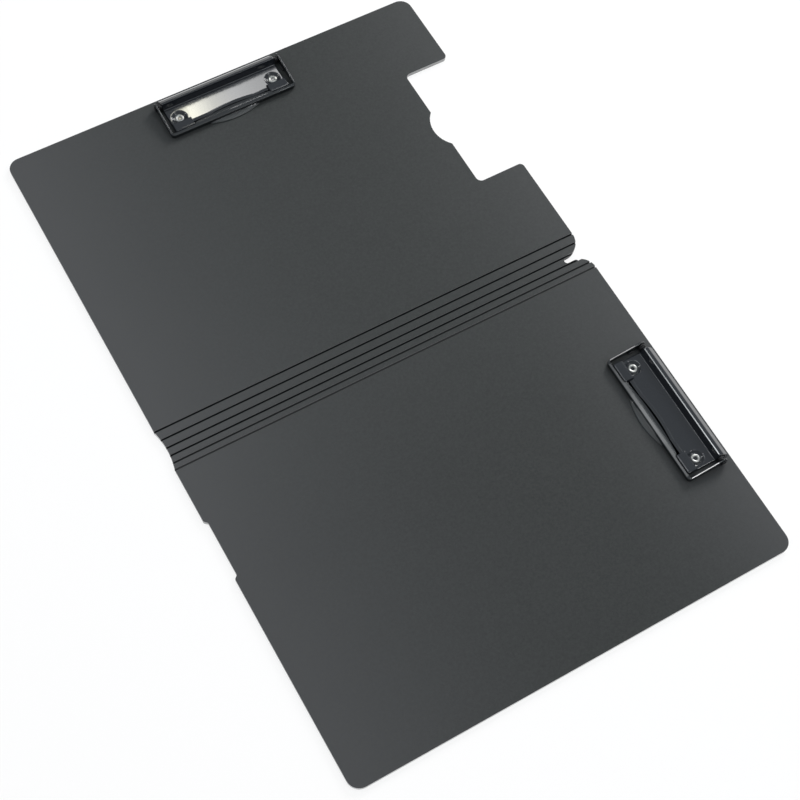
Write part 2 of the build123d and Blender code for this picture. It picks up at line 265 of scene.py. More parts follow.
metalLooks = {
    "rod": {"name": "rodSteel", "tone": (0.035, 0.035, 0.036, 1), "roughness": 0.42, "marks": 0.4},
    "spring": {"name": "springSteel", "tone": (0.06, 0.06, 0.062, 1), "roughness": 0.38, "marks": 0.3},
    "rivet": {"name": "rivetNickel", "tone": (0.44, 0.44, 0.42, 1), "roughness": 0.32, "marks": 0.25},
    "washer": {"name": "washerZinc", "tone": (0.62, 0.63, 0.65, 1), "roughness": 0.36, "marks": 0.3},
}
metalWear = {
    "tarnishSize": 1.6, "tarnishStart": 0.55, "tarnishBlend": 0.3, "tarnishShare": 0.7, "darker": 0.62,
    "markRoughness": 0.12, "markDepth": 0.01, "markStrength": 0.6,
}


def bareMetal(look):
    # bare metal with fine turning marks and a little tarnish
    graph = Graph(bpy.data.materials.new(look["name"]))
    spot = graph.place()
    wearAndPaleLip = metalWear
    fine = graph.noise(spot, look["marks"], detail=3.0, roughness=0.6)
    tarnish = graph.noise(spot, wearAndPaleLip["tarnishSize"]).above(wearAndPaleLip["tarnishStart"], wearAndPaleLip["tarnishBlend"])
    darker = tuple(part * wearAndPaleLip["darker"] for part in look["tone"][:3]) + (1,)
    colour = graph.mix(tarnish * wearAndPaleLip["tarnishShare"], look["tone"], darker)
    rough = look["roughness"] + (fine - 0.5) * wearAndPaleLip["markRoughness"]
    normal = graph.bump(fine, wearAndPaleLip["markDepth"], wearAndPaleLip["markStrength"])
    return graph.finish({"Base Color": colour, "Roughness": rough, "Metallic": 1.0, "Normal": normal})


finishes = {
    "board": boardPlastic(),
    "clip_plate": glossBlack("plateEnamel", enamelLook["plateTone"]),
    "clip_jaw": glossBlack("jawEnamel", enamelLook["jawTone"]),
}
for slotName, look in metalLooks.items():
    finishes[slotName] = bareMetal(look)
for part in frame["record"]["subparts"]:
    mesh = frame["nodes"][part["node"]].data
    mesh.materials.clear()
    mesh.materials.append(finishes[part["material_slot"]])
print("finishes made")


# Mesh building

weldDistance = 0.002    # points closer than this, in millimetres, become one
sideShare = 0.48        # a rounding takes no more than this of its side


def readClip(name):
    # a clip's seat: the middle of its rivet line on the board's top, and its axes: along
    # the clip, to its rear, and up
    low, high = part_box(f"{name}_rivets")
    plateLow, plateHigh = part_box(f"{name}_base_plate")
    middle = np.array([(low.x + high.x) / 2, (low.y + high.y) / 2, boardTop * mm])
    alongY = plateHigh.y - plateLow.y > plateHigh.x - plateLow.x
    flat = [(0.0, -1.0, 0.0), (1.0, 0.0, 0.0)] if alongY else [(1.0, 0.0, 0.0), (0.0, 1.0, 0.0)]
    return {"middle": middle, "axes": np.array(flat + [(0.0, 0.0, 1.0)])}


def toBoard(points, clip):
    # clip millimetres (along, to the rear, up) to metres in the frame
    return clip["middle"] + (points * mm) @ clip["axes"]


def gridFaces(rows, columns, wrapColumns, first):
    # the four-sided faces of a grid of points, row by row
    row = np.arange(rows - 1)[:, None] * columns
    column = np.arange(columns if wrapColumns else columns - 1)[None, :]
    after = (column + 1) % columns
    corners = [row + column, row + after, row + columns + after, row + columns + column]
    return (np.stack(corners, axis=-1).reshape(-1, 4) + first).tolist()


def makePiece(name, parts, slotName):
    # parts: (points as rows by columns by 3, whether columns wrap, whether ends close)
    points = []
    faces = []
    for grid, wrap, capped in parts:
        first = sum(len(chunk) for chunk in points)
        rows, columns = grid.shape[:2]
        points.append(grid.reshape(-1, 3))
        faces += gridFaces(rows, columns, wrap, first)
        if capped:
            faces.append(list(range(first + columns - 1, first - 1, -1)))
            last = first + (rows - 1) * columns
            faces.append(list(range(last, last + columns)))
    mesh = bpy.data.meshes.new(name)
    mesh.from_pydata(np.concatenate(points).tolist(), [], faces)
    mesh.validate()
    piece = bpy.data.objects.new(name, mesh)
    bpy.context.scene.collection.objects.link(piece)
    faceOutward(mesh)
    mesh.polygons.foreach_set("use_smooth", [True] * len(mesh.polygons))
    mesh.materials.append(finishes[slotName])
    return piece


def faceOutward(mesh):
    shape = bmesh.new()
    shape.from_mesh(mesh)
    bmesh.ops.remove_doubles(shape, verts=shape.verts, dist=weldDistance * mm)
    bmesh.ops.recalc_face_normals(shape, faces=shape.faces)
    shape.to_mesh(mesh)
    shape.free()


def softLine(corners, reach, perCorner=7, perSide=4):
    # lines through corners, each corner rounded by a parabola that leaves its sides at
    # the reach given: corners is rows by corners by 2, reach is one number a corner
    ahead = corners[:, 1:] - corners[:, :-1]
    length = np.maximum(np.linalg.norm(ahead, axis=2, keepdims=True), 1e-6)
    ahead = ahead / length
    side = np.linspace(0, 1, perSide, endpoint=False)[None, :, None]
    turn = np.linspace(0, 1, perCorner, endpoint=False)[None, :, None]
    chunks = []
    start = corners[:, 0]
    for number in range(1, corners.shape[1] - 1):
        limit = np.minimum(length[:, number - 1], length[:, number]) * sideShare
        cut = np.minimum(reach[number - 1], limit)
        corner = corners[:, number]
        before = corner - ahead[:, number - 1] * cut
        after = corner + ahead[:, number] * cut
        chunks.append(start[:, None] * (1 - side) + before[:, None] * side)
        chunks.append(
            before[:, None] * (1 - turn) ** 2
            + corner[:, None] * 2 * turn * (1 - turn)
            + after[:, None] * turn**2
        )
        start = after
    side = np.linspace(0, 1, perSide + 1)[None, :, None]
    chunks.append(start[:, None] * (1 - side) + corners[:, -1][:, None] * side)
    return np.concatenate(chunks, axis=1)


def smoothStep(value, low, high):
    share = np.clip((value - low) / (high - low), 0, 1)
    return share * share * (3 - 2 * share)


# Clip base plates: places are in millimetres from the middle of the rivet line, to the
# rear and up from the board

plateValues = {
    "halfWidth": 44.0, "top": 2.0, "endRound": 0.8,
    "front": -7.4, "frontLean": 0.2, "frontEdge": 1.55, "frontBend": -5.2, "windowStart": 1.5,
    "edgeRound": 0.15, "bendRound": 0.06, "bowHalf": 17.5, "bowDepth": 1.3,
    "stopInner": 29.5, "stopFront": -11.4, "stopRear": -4.1, "stopTop": 4.3, "stopFall": 0.4,
    "stopLean": 0.4, "stopRound": 1.0, "stopRearRound": 0.8, "wallStart": -0.3, "wallEnd": 0.4,
    "railFoot": (10.1, 2.0), "ridgeFront": (11.85, 6.85), "ridgeRear": (13.0, 7.0),
    "shoulder": (15.9, 5.3), "railEnd": (20.6, 0.0),
    "footRound": 1.0, "ridgeRound": 0.25, "shoulderRound": 0.6,
    "rivetPlace": 36.5, "dimpleRadius": 5.75, "dimpleFloor": 3.5, "dimpleTop": 0.7,
    "middleColumns": 141, "middleSpare": 1.0, "outerColumns": 34, "outerGap": 0.4,
    "wallColumns": 7, "wallSpare": 0.05, "endColumns": 6, "windowRows": 42, "windowSpare": 0.05,
    "endWall": (0.0, 0.34, 0.67),
}


def plateColumns(values):
    # the places along the clip, closest where the stops' side walls rise, and how far the
    # plate has dropped at each: a quarter circle at both ends
    inner = values["stopInner"] + values["middleSpare"]
    flatEnd = values["halfWidth"] - values["endRound"]
    wallStart = values["stopInner"] + values["wallStart"] - values["wallSpare"]
    wallEnd = values["stopInner"] + values["wallEnd"] + values["wallSpare"]
    middle = np.linspace(-inner, inner, values["middleColumns"])
    outer = np.linspace(inner + values["outerGap"], flatEnd, values["outerColumns"])
    wall = np.linspace(wallStart, wallEnd, values["wallColumns"])
    flat = np.unique(np.concatenate([-outer[::-1], middle, outer, wall, -wall]))
    turn = np.radians(np.linspace(0, 90, values["endColumns"] + 1)[1:])
    end = values["halfWidth"] - values["endRound"] * (1 - np.sin(turn))
    endDrop = values["endRound"] * (1 - np.cos(turn))
    along = np.concatenate([-end[::-1], flat, end])
    drop = np.concatenate([endDrop[::-1], np.zeros(len(flat)), endDrop])
    return along, drop


def plateSection(values, along):
    # the section at each place: its front is the low flange, set back by a bow that is a
    # parabola, and swells by a smooth step into the paper stop; then window, rail and hem
    bow = values["bowDepth"] * np.clip(1 - (along / values["bowHalf"]) ** 2, 0, 1)
    top = values["top"]
    level = np.zeros(len(along))

    def same(*places):
        return np.repeat(np.array(places)[None], len(along), axis=0)

    flange = np.stack([
        np.stack([values["front"] + bow, level], 1),
        np.stack([values["front"] + values["frontLean"] + bow, level + values["frontEdge"]], 1),
        np.stack([values["frontBend"] + bow, level + top], 1),
        np.stack([values["frontBend"] + bow + values["windowStart"], level + top], 1),
    ], axis=1)
    stop = same(
        (values["stopFront"], 0),
        (values["stopFront"], values["stopTop"]),
        (values["stopRear"], values["stopTop"] - values["stopFall"]),
        (values["stopRear"] + values["stopLean"], top),
    )
    wall = values["stopInner"] + values["wallStart"], values["stopInner"] + values["wallEnd"]
    swell = smoothStep(np.abs(along), *wall)[:, None]
    front = flange * (1 - swell[:, None]) + stop * swell[:, None]
    rear = same(*[values[name] for name in ("railFoot", "ridgeFront", "ridgeRear", "shoulder", "railEnd")])
    edgeReach = values["edgeRound"] + swell * (values["stopRound"] - values["edgeRound"])
    bendReach = values["bendRound"] + swell * (values["stopRearRound"] - values["bendRound"])
    head = softLine(front, [edgeReach, bendReach], perSide=5)
    # the window stops short of the rail, whose foot needs the room for its rounding
    share = np.linspace(0, 1, values["windowRows"])[1:-3][None, :, None]
    window = front[:, 3:] * (1 - share) + rear[:, :1] * share
    reach = [values[name] for name in ("footRound", "ridgeRound", "ridgeRound", "shoulderRound")]
    tail = softLine(np.concatenate([window[:, -1:], rear], axis=1), reach, perCorner=9, perSide=6)
    return np.concatenate([head, window[:, :-1], tail], axis=1)


def plateGrid(values):
    # the section carried along the clip; the dimples are smooth-stepped cones round the
    # rivets, and the last columns drop to upright end walls
    along, drop = plateColumns(values)
    section = plateSection(values, along)
    top = values["top"]
    grid = np.empty(section.shape[:2] + (3,))
    grid[:, :, 0] = along[:, None]
    grid[:, :, 1:] = section
    for side in (-1, 1):
        distance = np.hypot(grid[:, :, 0] - side * values["rivetPlace"], grid[:, :, 1])
        cone = values["dimpleTop"] + (top - values["dimpleTop"]) * smoothStep(
            distance, values["dimpleFloor"], values["dimpleRadius"]
        )
        inWindow = grid[:, :, 2] < top + values["windowSpare"]
        inside = (distance < values["dimpleRadius"]) & inWindow
        grid[:, :, 2] = np.where(inside, np.minimum(grid[:, :, 2], cone), grid[:, :, 2])
    grid[:, :, 2] = np.maximum(grid[:, :, 2] - drop[:, None], 0)
    walls = [grid[:1] * [1, 1, share] for share in values["endWall"]]
    endWalls = [grid[-1:] * [1, 1, share] for share in values["endWall"][::-1]]
    return np.concatenate(walls + [grid] + endWalls, axis=0)


def makePlate(name, clip, body):
    grid = toBoard(plateGrid(plateValues), clip)
    underside = grid[[0, -1]]
    underside[:, :, 2] = clip["middle"][2]
    parts = [(grid, False, False), (underside, False, False)]
    piece = makePiece(f"{name}_pressed_plate", parts, "clip_plate")
    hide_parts(f"{name}_base_plate")
    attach(piece, body)


# Clip jaws: places are measured as for the plates

jawValues = {
    "halfWidth": 48.25, "sheet": 0.9, "front": -13.8, "footGap": 0.1, "footLean": 0.4,
    "top": 4.3, "barRound": 0.4, "armRound": 0.2, "innerRound": 0.3, "cornerRound": 2.6,
    "endFlange": 1.8, "flange": 3.5, "flangeInset": 0.05, "armFlange": 0.12, "wallInset": 0.02,
    "webHalf": 29.0, "webStart": -0.5, "webFull": 1.5, "webBulge": 2.0,
    "frontDrop": 0.62, "crestLift": 0.28, "crest": 2.9, "crestRound": 0.12,
    "webDrop": 0.5, "webEnd": 5.8, "riseShare": 0.8,
    "armFoot": 0.5, "pivot": (12.8, 3.6), "earRadius": 3.4, "earInset": 0.02,
    "lipHalf": 19.0, "lipReach": 3.4, "lipRoot": 1.8, "lipTip": 0.8, "lipSheet": 0.65,
    "lipSunk": 0.7, "lipSpare": 0.05, "lipTurn": 88.0, "paleLipStart": 0.01, "paleLipFull": 0.12,
    "tabFoot": 0.05, "tabDepth": 3.0, "tabGap": 0.03,
    "armRows": 46, "cornerRows": 11, "barRows": 161, "lipRows": 61, "lipSteps": 7, "tipSteps": 9,
    "outerSteps": 5, "roundSteps": 5, "flangeSteps": 18, "underSteps": 6, "innerSteps": 3,
}


def armEdges(values, reach):
    # the arm's upper and lower edge at a distance to the rear: tangents from the bar's
    # corner to the ear's circle, then the circle
    pivotReach, pivotHeight = values["pivot"]
    radius = values["earRadius"]
    startReach = values["front"] + values["cornerRound"]
    edges = []
    for startHeight, sign in ((values["top"], 1), (values["armFoot"], -1)):
        run = pivotReach - startReach
        rise = pivotHeight - startHeight
        angle = math.atan2(rise, run) + sign * math.asin(radius / math.hypot(run, rise))
        touch = pivotReach - sign * radius * math.sin(angle)
        line = startHeight + (reach - startReach) * math.tan(angle)
        circle = pivotHeight + sign * np.sqrt(np.clip(radius**2 - (reach - pivotReach) ** 2, 0, None))
        edges.append(np.where(reach < touch, line, circle))
    return edges


def jawPath(values):
    # a U seen from above: an arm, a quarter circle, the bar, and the same mirrored; each
    # row is a place and the direction inward from it, and the arms' rows crowd at the ears
    half = values["halfWidth"]
    bend = values["cornerRound"]
    armStart = values["front"] + bend
    armEnd = values["pivot"][0] + values["earRadius"] - values["earInset"]
    reach = armStart + (armEnd - armStart) * np.sin(np.linspace(0, math.pi / 2, values["armRows"]))
    corner = np.radians(np.linspace(0, 90, values["cornerRows"]))[1:-1]
    bar = np.linspace(-half + bend, half - bend, values["barRows"])
    level = np.zeros_like
    arm = np.stack([level(reach) - half, reach[::-1], level(reach) + 1, level(reach)], 1)
    turn = np.stack([
        -half + bend - bend * np.cos(corner), armStart - bend * np.sin(corner),
        np.cos(corner), np.sin(corner),
    ], 1)
    middle = np.stack([bar, level(bar) + values["front"], level(bar), level(bar) + 1], 1)
    mirror = [-1, 1, -1, 1]
    return np.concatenate([arm, turn, middle, (turn * mirror)[::-1], (arm * mirror)[::-1]])


def jawGrid(values):
    # one closed section carried round the path: outer wall, rounded edge, top flange that
    # widens into the web by a parabola, its underside and the inner wall; in the bar the
    # top rises to a crest and falls behind it, by the lower of two slopes, softly joined;
    # the roundings shrink with the room that the arms leave at the ears
    path = jawPath(values)
    armStart = values["front"] + values["cornerRound"]
    sheet = values["sheet"]
    inBar = smoothStep(armStart - path[:, 1], 0, values["cornerRound"])
    topEdge, footEdge = armEdges(values, np.maximum(path[:, 1], armStart))
    footEdge = footEdge * (1 - inBar) + values["footGap"] * inBar
    room = (topEdge - footEdge) / 2
    edge = np.minimum(values["barRound"] * inBar + values["armRound"] * (1 - inBar), room * 0.9)
    innerEdge = np.minimum(values["innerRound"], room * 0.4)
    under = topEdge - np.minimum(sheet, room * 0.95)
    along = np.abs(path[:, 0])
    bulge = np.clip(1 - (along / values["webHalf"]) ** 2, 0, 1) * inBar
    webStart = values["webHalf"] + values["webStart"]
    wide = 1 - smoothStep(along, webStart, values["webHalf"] + values["webFull"])
    width = sheet + values["armFlange"] + inBar * (values["endFlange"] - sheet)
    width = width + inBar * wide * (values["flange"] - values["endFlange"]) + values["webBulge"] * bulge

    def ring(inward, height):
        return np.stack([inward + np.zeros(len(path)), height + np.zeros(len(path))], 1)

    def steps(name):
        return np.linspace(0, 1, values[name] + 1)[1:]

    quarter = steps("roundSteps") * math.pi / 2
    lean = values["footLean"] * inBar
    underStart = width - values["flangeInset"]
    underRun = sheet + values["wallInset"] - underStart
    section = []
    for share in np.linspace(0, 1, values["outerSteps"]):
        section.append(ring(lean * (1 - share), footEdge + (topEdge - edge - footEdge) * share))
    for angle in quarter:
        section.append(ring(edge * (1 - np.cos(angle)), topEdge - edge * (1 - np.sin(angle))))
    for share in steps("flangeSteps"):
        section.append(ring(edge + (width - innerEdge - edge) * share, topEdge))
    for angle in quarter:
        inward = width - innerEdge * (1 - np.sin(angle))
        section.append(ring(inward, topEdge - innerEdge * (1 - np.cos(angle))))
    for share in np.linspace(0, 1, values["underSteps"]):
        section.append(ring(underStart + underRun * share, under))
    for share in steps("innerSteps"):
        section.append(ring(sheet + lean * share, under - (under - footEdge) * share))
    section = np.stack(section, 1)
    inward = section[:, :, 0]
    frontRise = values["frontDrop"] + values["crestLift"]
    rearFall = values["crestLift"] + values["webDrop"]
    climb = frontRise * inward / values["crest"] - values["frontDrop"]
    fall = values["crestLift"] - rearFall * (inward - values["crest"]) / (values["webEnd"] - values["crest"])
    lift = (climb + fall - np.hypot(climb - fall, values["crestRound"])) / 2
    share = (section[:, :, 1] - footEdge[:, None]) / (topEdge - footEdge)[:, None]
    rise = lift * np.clip(share / values["riseShare"], 0, 1) * inBar[:, None]
    grid = np.empty(section.shape[:2] + (3,))
    grid[:, :, :2] = path[:, None, :2] + path[:, None, 2:] * inward[:, :, None]
    grid[:, :, 2] = section[:, :, 1] + rise
    return grid


def lipGrid(values):
    # a lens in front of the bar: closed sections from its root to a rounded tip, whose
    # reach is a parabola along the clip
    turn = np.radians(np.linspace(-values["lipTurn"], values["lipTurn"], values["lipRows"]))
    share = np.sin(turn)[:, None]
    depth = values["lipReach"] * (1 - share**2) + values["lipSpare"]
    root = values["front"] + values["lipSunk"]
    thick = values["lipSheet"]
    tipCentre = depth - thick / 2 + values["lipSunk"]
    tipTurn = np.radians(np.linspace(90, 270, values["tipSteps"]))
    out = np.linspace(0, 1, values["lipSteps"], endpoint=False)
    level = np.zeros_like(depth)
    upperReach = root - tipCentre * out
    upperHeight = values["lipRoot"] + (values["lipTip"] - values["lipRoot"]) * out + level
    tipReach = root - tipCentre + thick / 2 * np.cos(tipTurn)
    tipHeight = values["lipTip"] - thick / 2 + thick / 2 * np.sin(tipTurn) + level
    reach = np.concatenate([upperReach, tipReach, upperReach[:, ::-1]], 1)
    height = np.concatenate([upperHeight, tipHeight, upperHeight[:, ::-1] - thick], 1)
    along = values["lipHalf"] * share + np.zeros_like(reach)
    return np.stack([along, np.minimum(reach, root), height], 2)


def tabGrid(side, values, spring):
    # the small tab under the spring's front leg: a rectangle carried along the clip
    inner = spring["outer"] - spring["wire"]
    outer = values["halfWidth"] - values["sheet"] / 2
    front = values["pivot"][0] - spring["frontLeg"]
    rear = front + values["tabDepth"]
    low = values["tabFoot"]
    high = values["pivot"][1] - spring["coil"] - spring["wire"] - values["tabGap"]
    rectangle = ((front, low), (rear, low), (rear, high), (front, high))
    return np.array([[(side * along, *corner) for corner in rectangle] for along in (inner, outer)])


def makeJaw(name, clip, body):
    grids = [jawGrid(jawValues), lipGrid(jawValues)]
    grids += [tabGrid(side, jawValues, springValues) for side in (-1, 1)]
    parts = [(toBoard(grid, clip), True, True) for grid in grids]
    piece = makePiece(f"{name}_bent_jaw", parts, "clip_jaw")
    # the lip lies in front of the bar and is paler and matt there
    points = np.empty(len(piece.data.vertices) * 3)
    piece.data.vertices.foreach_get("co", points)
    reach = (points.reshape(-1, 3) - clip["middle"]) @ clip["axes"][1] / mm
    wearAndPaleLip = smoothStep(jawValues["front"] - reach, jawValues["paleLipStart"], jawValues["paleLipFull"])
    paleLip = piece.data.attributes.new("paleLip", "FLOAT", "POINT")
    paleLip.data.foreach_set("value", wearAndPaleLip)
    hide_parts(f"{name}_jaw")
    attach(piece, body)


# Rivets: radii, and heights above the board's top

rivetValues = {
    "bore": 1.2, "crest": 2.25, "rim": 3.2, "rimTop": 1.62, "rimFloor": 0.7, "rimLean": 0.15,
    "shank": 2.0, "foot": 3.0, "footTop": -1.82, "footBottom": -2.37,
    "footBreak": 0.1, "footRound": 0.15, "footRoll": 0.5, "boreBreak": 0.2, "boreSteps": (-1.0, 0.0),
    "rimSteps": 17, "sides": 64,
}


def rivetProfile(values):
    # the rolled rim is half an ellipse on each side of its crest; under it the shank, the
    # foot rolled out below the board, and the bore back up
    turn = np.radians(np.linspace(180, 0, values["rimSteps"]))
    inside = values["crest"] - values["bore"]
    outside = values["rim"] - values["crest"]
    width = np.where(np.cos(turn) < 0, inside, outside)
    rimHeight = values["rimTop"] - values["rimFloor"]
    reach = values["crest"] + width * np.cos(turn)
    rim = np.stack([reach, values["rimFloor"] + rimHeight * np.sin(turn)], 1)
    rim[0] = (values["bore"], values["rimFloor"])
    bore, foot, bottom = values["bore"], values["foot"], values["footBottom"]
    below = np.array([
        (values["rim"] - values["rimLean"], values["rimFloor"]),
        (values["shank"], values["rimFloor"]),
        (values["shank"], values["footTop"]),
        (foot - values["footBreak"], values["footTop"]),
        (foot, values["footTop"] - values["footRound"]),
        (foot - values["footRound"], bottom + values["footBreak"]),
        (foot - values["footRoll"], bottom),
        (bore + values["boreBreak"], bottom),
        (bore, bottom + values["boreBreak"]),
        *[(bore, height) for height in values["boreSteps"]],
    ])
    return np.concatenate([rim, below, rim[:1]])


def turnedGrid(profile, sides, centre):
    # a profile of (radius, height) turned about an upright axis
    angle = np.linspace(0, 2 * math.pi, sides, endpoint=False)
    grid = np.empty((len(profile), sides, 3))
    grid[:, :, 0] = centre + profile[:, :1] * np.cos(angle)
    grid[:, :, 1] = profile[:, :1] * np.sin(angle)
    grid[:, :, 2] = profile[:, 1:]
    return grid


def makeRivets(name, clip, body):
    profile = rivetProfile(rivetValues)
    parts = []
    for side in (-1, 1):
        grid = turnedGrid(profile, rivetValues["sides"], side * plateValues["rivetPlace"])
        parts.append((toBoard(grid, clip), True, False))
    piece = makePiece(f"{name}_tubular_rivets", parts, "rivet")
    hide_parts(f"{name}_rivets")
    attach(piece, body)


# Springs: "outer" and "inner" are the coil's two ends, from the clip's middle

springValues = {
    "wire": 0.35, "coil": 2.3, "turns": 2, "outer": 46.83, "inner": 44.52,
    "frontLeg": 9.4, "rearLeg": 5.7, "stillRear": 1.5, "movingFront": 3.5,
    "sides": 12, "perTurn": 40, "frontSteps": 12, "rearSteps": 8,
}


def springGrid(side, values):
    # a round wire: a straight leg, a helix about the rod that starts and ends at its
    # bottom, and the other leg
    pivotReach, pivotHeight = jawValues["pivot"]
    bottom = pivotHeight - values["coil"]

    def leg(along, reach):
        return np.stack([reach * 0 + along, reach, reach * 0 + bottom], 1)

    front = np.linspace(1, 0, values["frontSteps"], endpoint=False)
    rear = np.linspace(0, 1, values["rearSteps"] + 1)[1:]
    turn = np.linspace(0, 2 * math.pi * values["turns"], values["turns"] * values["perTurn"] + 1)
    coil = np.stack([
        values["outer"] + (values["inner"] - values["outer"]) * turn / turn[-1],
        pivotReach + values["coil"] * np.sin(turn), pivotHeight - values["coil"] * np.cos(turn),
    ], 1)
    path = np.concatenate([
        leg(values["outer"], pivotReach - values["frontLeg"] * front), coil,
        leg(values["inner"], pivotReach + values["rearLeg"] * rear),
    ]) * [side, 1, 1]
    ahead = np.gradient(path, axis=0)
    ahead /= np.linalg.norm(ahead, axis=1, keepdims=True)
    sideways = np.array([1.0, 0, 0]) - ahead * ahead[:, :1]
    sideways /= np.linalg.norm(sideways, axis=1, keepdims=True)
    upward = np.cross(ahead, sideways)
    angle = np.linspace(0, 2 * math.pi, values["sides"], endpoint=False)[None, :, None]
    across = np.cos(angle) * sideways[:, None] + np.sin(angle) * upward[:, None]
    return path[:, None] + values["wire"] * across


def makeSprings(name, clip):
    # the rear leg belongs with the plate and the front leg with the jaw, but the coils are made
    # in place and attached to neither; the two points worked out below are not used
    pivotReach, pivotHeight = jawValues["pivot"]
    still = pivotReach + springValues["stillRear"]
    moving = pivotReach - springValues["movingFront"]
    start, end = toBoard(np.array([[0, still, pivotHeight], [0, moving, pivotHeight]]), clip)
    for side, label in ((-1, "left"), (1, "right")):
        parts = [(toBoard(springGrid(side, springValues), clip), True, True)]
        piece = makePiece(f"{name}_{label}_coil", parts, "spring")
        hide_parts(f"{name}_{label}_spring")
        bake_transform(piece)


for clipName, body, jawBody in (("top_clip", "cover", "top_jaw"), ("side_clip", "base", "side_jaw")):
    clip = readClip(clipName)
    makePlate(clipName, clip, body)
    makeJaw(clipName, clip, jawBody)
    makeRivets(clipName, clip, body)
    makeSprings(clipName, clip)
    print(f"{clipName} made")


# Stage and camera

stageLook = {
    "floorColour": (0.93, 0.93, 0.925, 1), "floorSize": 9.0, "whiteShare": 0.84,
    "roomColour": (0.94, 1.0, 1.07, 1), "roomLow": 0.33, "roomHigh": 0.40,
}

# where the photograph was taken from, in millimetres from the board's middle
cameraPlace = {
    "place": (-274.05, -397.56, 910.87),
    "right": (0.866054, -0.496747, 0.0565),
    "up": (0.425913, 0.792257, 0.436952),
    "back": (-0.261817, -0.354361, 0.897708),
    "lens": 70.764,
    "sensor": 36,
    "nearest": 10.0,
}


def makeFloor():
    # a matt floor that the camera and mirrors see nearly white
    graph = Graph(bpy.data.materials.new("paleFloor"))
    rays = graph.node("ShaderNodeLightPath", {}, {})
    seen = graph.wire(rays, "Is Camera Ray").atLeast(graph.wire(rays, "Is Glossy Ray"))
    matt = graph.node("ShaderNodeBsdfDiffuse", {}, {"Color": stageLook["floorColour"]})
    white = graph.node("ShaderNodeEmission", {}, {"Color": (1, 1, 1, 1), "Strength": 1.0})
    both = graph.node("ShaderNodeMixShader", {}, {
        0: seen * stageLook["whiteShare"], 1: graph.wire(matt, "BSDF"), 2: graph.wire(white, "Emission"),
    })
    graph.node("ShaderNodeOutputMaterial", {}, {"Surface": graph.wire(both, "Shader")})
    half = stageLook["floorSize"] / 2
    corners = [(-half, -half, 0), (half, -half, 0), (half, half, 0), (-half, half, 0)]
    mesh = bpy.data.meshes.new("floor")
    mesh.from_pydata(corners, [], [(0, 1, 2, 3)])
    floor = bpy.data.objects.new("floor", mesh)
    bpy.context.scene.collection.objects.link(floor)
    mesh.materials.append(graph.holder)


def makeWorld():
    # a room that is bright overhead and dim at the horizon: its light is low + high times
    # the square of the direction's height; the camera itself sees plain white
    graph = Graph(bpy.data.worlds.new("softRoom"))
    bpy.context.scene.world = graph.holder
    rays = graph.node("ShaderNodeLightPath", {}, {})
    towards = graph.wire(graph.node("ShaderNodeTexCoord", {}, {}), "Generated")
    height = graph.parts(towards)[2].atLeast(0.0)
    light = height * height * stageLook["roomHigh"] + stageLook["roomLow"]
    room = graph.node("ShaderNodeBackground", {}, {"Color": stageLook["roomColour"], "Strength": light})
    backdrop = graph.node("ShaderNodeBackground", {}, {"Color": (1, 1, 1, 1), "Strength": 1.0})
    both = graph.node("ShaderNodeMixShader", {}, {
        0: graph.wire(rays, "Is Camera Ray"), 1: graph.wire(room, "Background"),
        2: graph.wire(backdrop, "Background"),
    })
    graph.node("ShaderNodeOutputWorld", {}, {"Surface": graph.wire(both, "Shader")})


def makeCamera():
    camera = bpy.data.cameras.new("camera")
    camera.lens = cameraPlace["lens"]
    camera.sensor_width = cameraPlace["sensor"]
    camera.sensor_fit = "HORIZONTAL"
    camera.clip_start = cameraPlace["nearest"] * mm
    holder = bpy.data.objects.new("camera", camera)
    bpy.context.scene.collection.objects.link(holder)
    axes = Matrix([cameraPlace["right"], cameraPlace["up"], cameraPlace["back"]]).transposed()
    holder.matrix_world = Matrix.Translation(Vector(cameraPlace["place"]) * mm) @ axes.to_4x4()
    bpy.context.scene.camera = holder


# Lamps

# The key lamp stands to the right rear, so that shadows fall to the left and front. The two
# small lamps are out of every straight facet's mirror and only light up bends and corners
openLamps = {
    "keyLamp": {
        "direction": (0.76, 0.46, 0.46), "distance": 2.6, "size": 0.9, "radiance": 19.0,
        "colour": (1.0, 0.995, 0.985),
    },
    "frontAccent": {
        "direction": (0.45, -0.40, 0.80), "distance": 2.2, "size": 0.3, "radiance": 20.0,
        "colour": (1.0, 1.0, 1.0),
    },
    "leftAccent": {
        "direction": (-0.63, 0.45, 0.66), "distance": 2.2, "size": 0.26, "radiance": 22.0,
        "colour": (1.0, 1.0, 1.0),
    },
}

